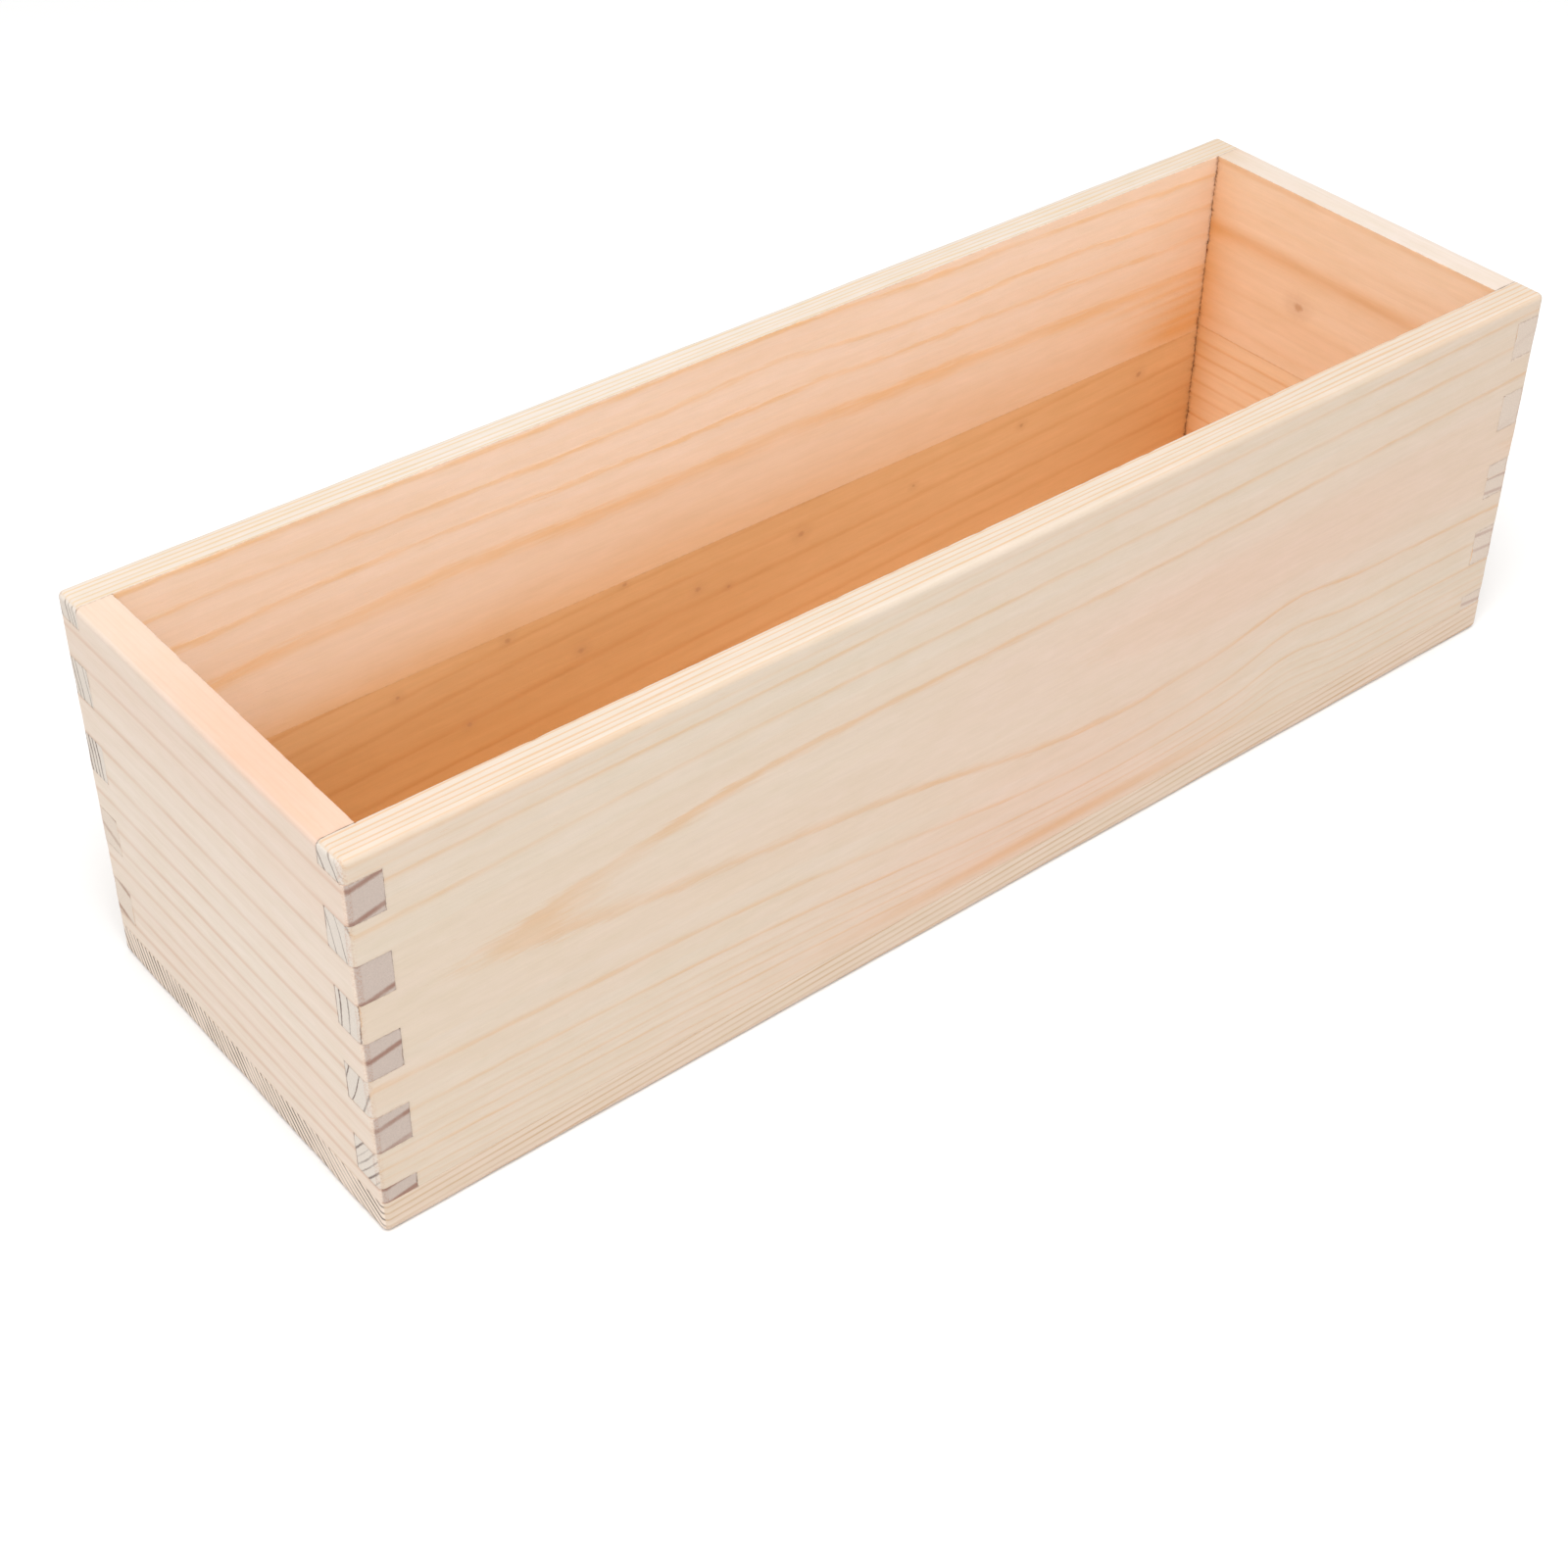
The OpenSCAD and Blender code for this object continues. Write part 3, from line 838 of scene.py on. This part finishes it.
rightLower = board(
    "rightLower", "right_end_lower_stave", -halfWidth, halfWidth, baseTop + gap, rightGlue - 0.004,
    notchesOf(sides, halfWidth), lambda a, b, w: np.stack([halfLength - w, a, b], 1), rightLowerWood,
)
rightLower.data.materials.append(pineMaterial("rightLowerPine", rightLowerWood))

# bottom board
bottomWood = dict(plainPine)
bottomWood.update({
    "centre": (halfLength, 0, halfWidth), "turn": (quarter, 0, 0), "flip": (1, 1, -1), "seed": 7.0,
    "pith": (47, -18), "lean": (0.036, 0), "wander": 0.5, "feather": 0.04, "uneven": 0.5,
    "inward": (0, 0, 1), "rimLines": 0.0,
    "years": tuple((42 + 1.4 * k, 0.47, 1.0) for k in range(58)), "End Wood": (0.76, 0.64, 0.54),
    "End Late": (0.10, 0.07, 0.055), "Pale": (0.62, 0.51, 0.41), "Late Tint": (0.80, 0.66, 0.50),
})
bottomBoard = board(
    "bottomBoard", "bottom_board", -halfLength, halfLength, -halfWidth, halfWidth, [],
    lambda a, b, w: np.stack([a, b, w], 1), bottomWood, eased=True,
)
bottomBoard.data.materials.append(pineMaterial("bottomPine", bottomWood))

# studio
studio = {
    "floorColor": (0.86, 0.857, 0.853), "worldStrength": 0.75, "keyPower": 11.2, "keySize": 0.9,
    "keyPlace": (-0.32, -0.35, 1.05), "fillPower": 1.2,
}
floorMesh = bpy.data.meshes.new("floor")
floorMesh.from_pydata([(-6, -6, 0), (6, -6, 0), (6, 6, 0), (-6, 6, 0)], [], [(0, 1, 2, 3)])
floor = bpy.data.objects.new("floor", floorMesh)
bpy.context.scene.collection.objects.link(floor)
floorPaint = bpy.data.materials.new("floorPaint")
floorPaint.use_nodes = True
floorShader = floorPaint.node_tree.nodes["Principled BSDF"]
floorShader.inputs["Base Color"].default_value = (*studio["floorColor"], 1)
floorShader.inputs["Roughness"].default_value = 0.9
floorMesh.materials.append(floorPaint)


def areaLight(name, place, aim, size, power):
    lamp = bpy.data.lights.new(name, "AREA")
    lamp.shape = "SQUARE"
    lamp.size = size
    lamp.energy = power
    light = bpy.data.objects.new(name, lamp)
    light.location = place
    light.rotation_euler = (Vector(aim) - Vector(place)).to_track_quat("-Z", "Y").to_euler()
    bpy.context.scene.collection.objects.link(light)


areaLight("keyLight", studio["keyPlace"], (0, 0, 0.04), studio["keySize"], studio["keyPower"])
areaLight("fillLight", (0.7, -0.9, 0.7), (0, 0, 0.04), 1.0, studio["fillPower"])
world = bpy.data.worlds.new("softRoom")
world.use_nodes = True
world.node_tree.nodes["Background"].inputs["Color"].default_value = (1, 1, 1, 1)
world.node_tree.nodes["Background"].inputs["Strength"].default_value = studio["worldStrength"]
bpy.context.scene.world = world
bpy.context.scene.view_settings.view_transform = "Standard"

cameraSetup = {
    "aim": (-0.0181, 0.0, 0.0067), "azimuth": 39.51, "elevation": 39.10, "distance": 0.528,
    "lens": 61.28, "roll": 0.70,
}
setup = cameraSetup
turn, tilt = math.radians(setup["azimuth"]), math.radians(setup["elevation"])
gaze = Vector((math.sin(turn) * math.cos(tilt), math.cos(turn) * math.cos(tilt), -math.sin(tilt)))
lens = bpy.data.cameras.new("camera")
lens.lens = setup["lens"]
lens.sensor_width = 36
camera = bpy.data.objects.new("camera", lens)
aimed = gaze.to_track_quat("-Z", "Y").to_matrix().to_4x4()
rolled = aimed @ Matrix.Rotation(math.radians(setup["roll"]), 4, "Z")
camera.matrix_world = Matrix.Translation(Vector(setup["aim"]) - gaze * setup["distance"]) @ rolled
bpy.context.scene.collection.objects.link(camera)
bpy.context.scene.camera = camera
print("studio ready")
